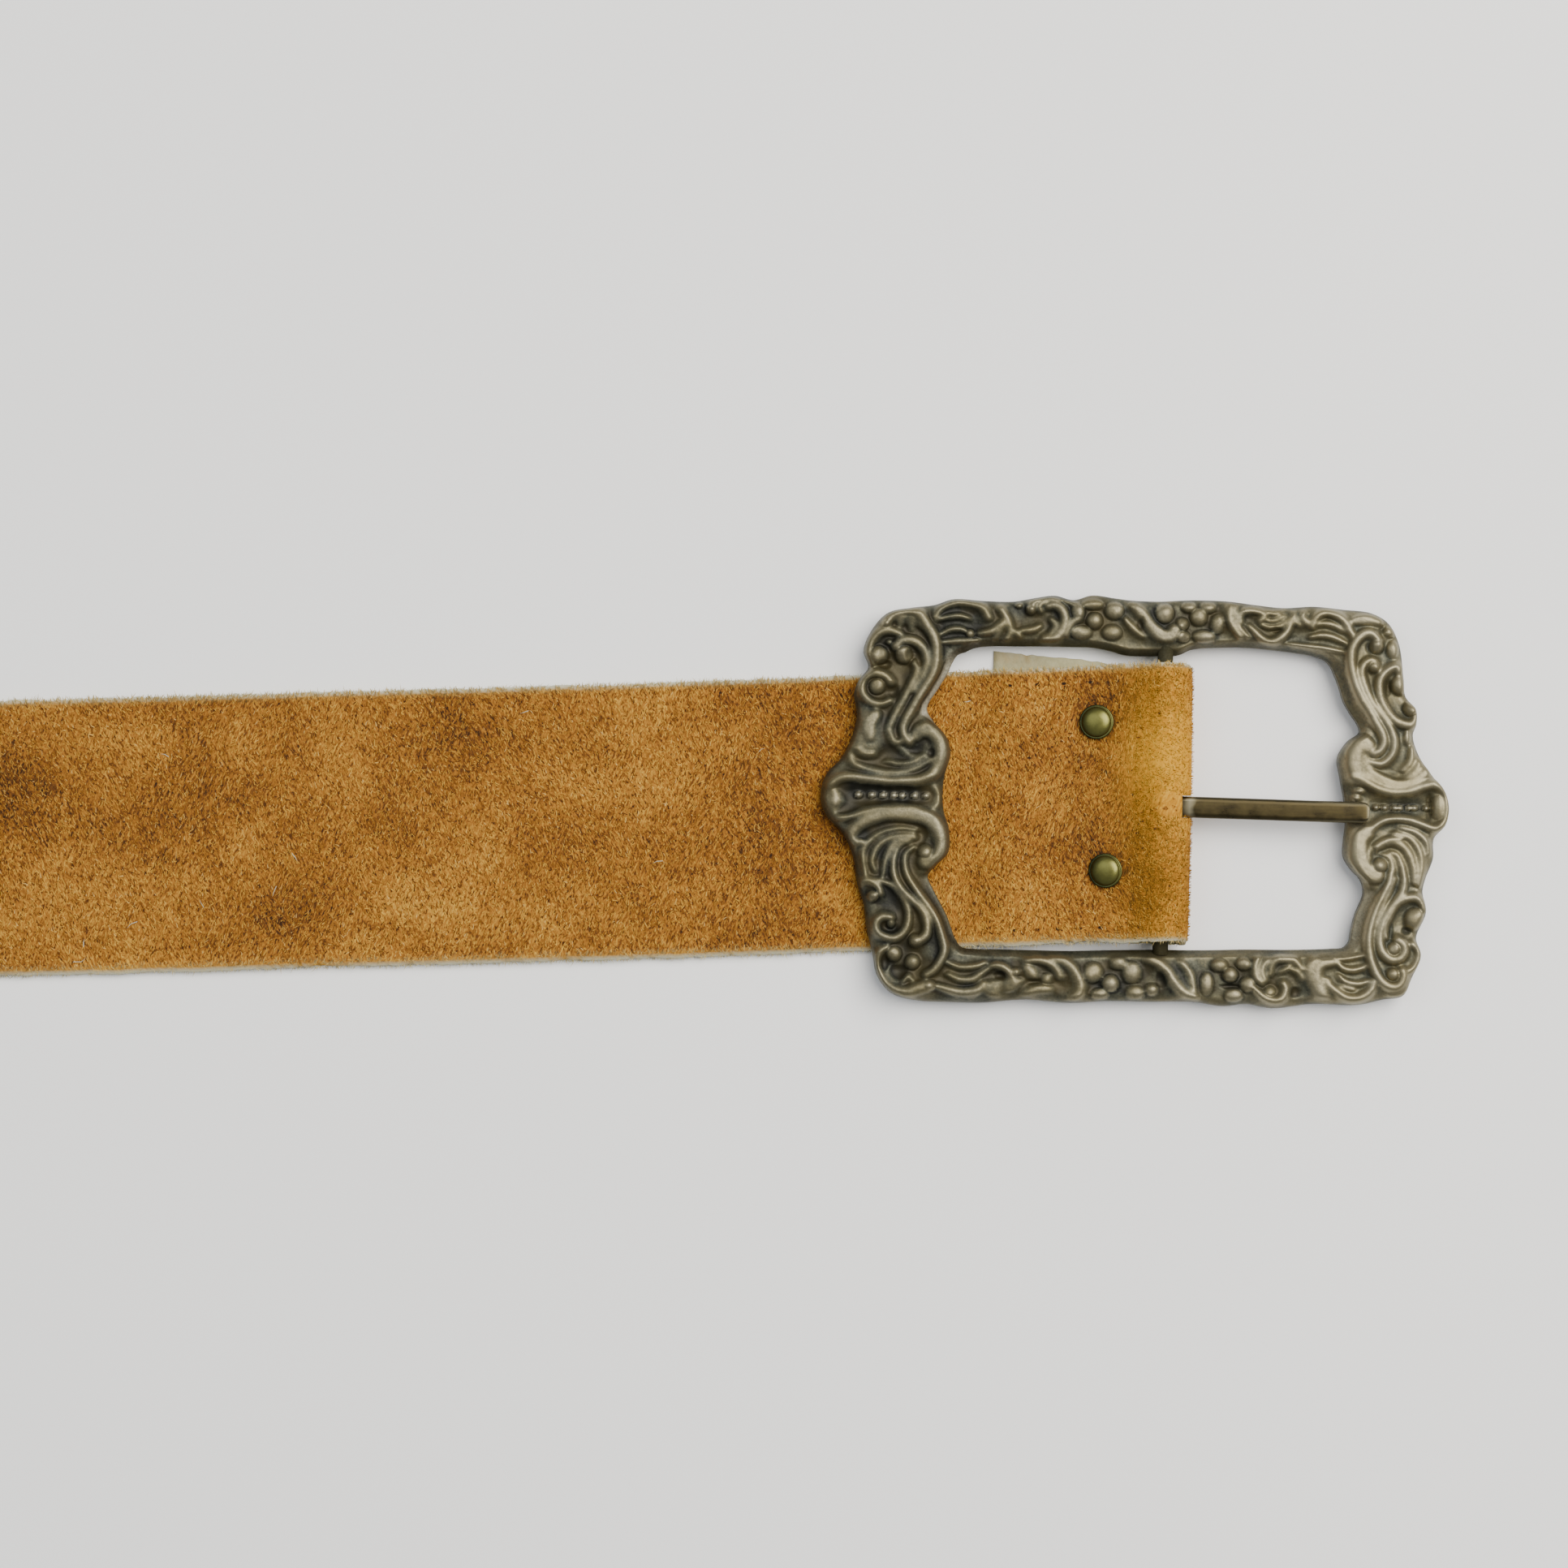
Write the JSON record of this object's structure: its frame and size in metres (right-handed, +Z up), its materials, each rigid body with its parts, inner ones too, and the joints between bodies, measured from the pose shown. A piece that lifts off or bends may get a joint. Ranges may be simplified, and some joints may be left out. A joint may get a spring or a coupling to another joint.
{
  "type": "suede belt",
  "caption": "Flat suede belt strap folded round the centre bar of a cast scrollwork buckle, closed with two rivets, with a hinged frame and prong.",
  "frame": {"origin": "middle of the belt's footprint, on the surface that it lies on", "axes": "+X along the strap towards the buckle, +Y across the strap towards the edge where the turned-back tab shows, +Z up from the surface"},
  "size_m": [0.9158, 0.0676, 0.0089],
  "materials": {
    "suede": "brushed tan suede with raw pale edges",
    "antique_casting": "antiqued cast brass, dark in the recesses and rubbed bright on the ridges",
    "bronze_prong": "smooth olive bronze",
    "rivet_brass": "polished domed brass with a greenish tarnish"
  },
  "bodies": {
    "strap": {"strap": "suede", "rivet_upper": "rivet_brass", "rivet_lower": "rivet_brass"},
    "frame": {"buckle_frame": "antique_casting"},
    "prong": {"prong": "bronze_prong"}
  },
  "joints": [
    {"name": "frame_swing", "type": "hinge", "parent": "strap", "child": "frame", "pos_m": [0.41157, -0.00017, 0.00446], "axis": [0.0436, 0.999, 0], "range_deg": [0, 90]},
    {"name": "prong_swing", "type": "hinge", "parent": "frame", "child": "prong", "pos_m": [0.41157, -0.00017, 0.00446], "axis": [-0.0436, -0.999, 0], "range_deg": [0, 25]}
  ]
}
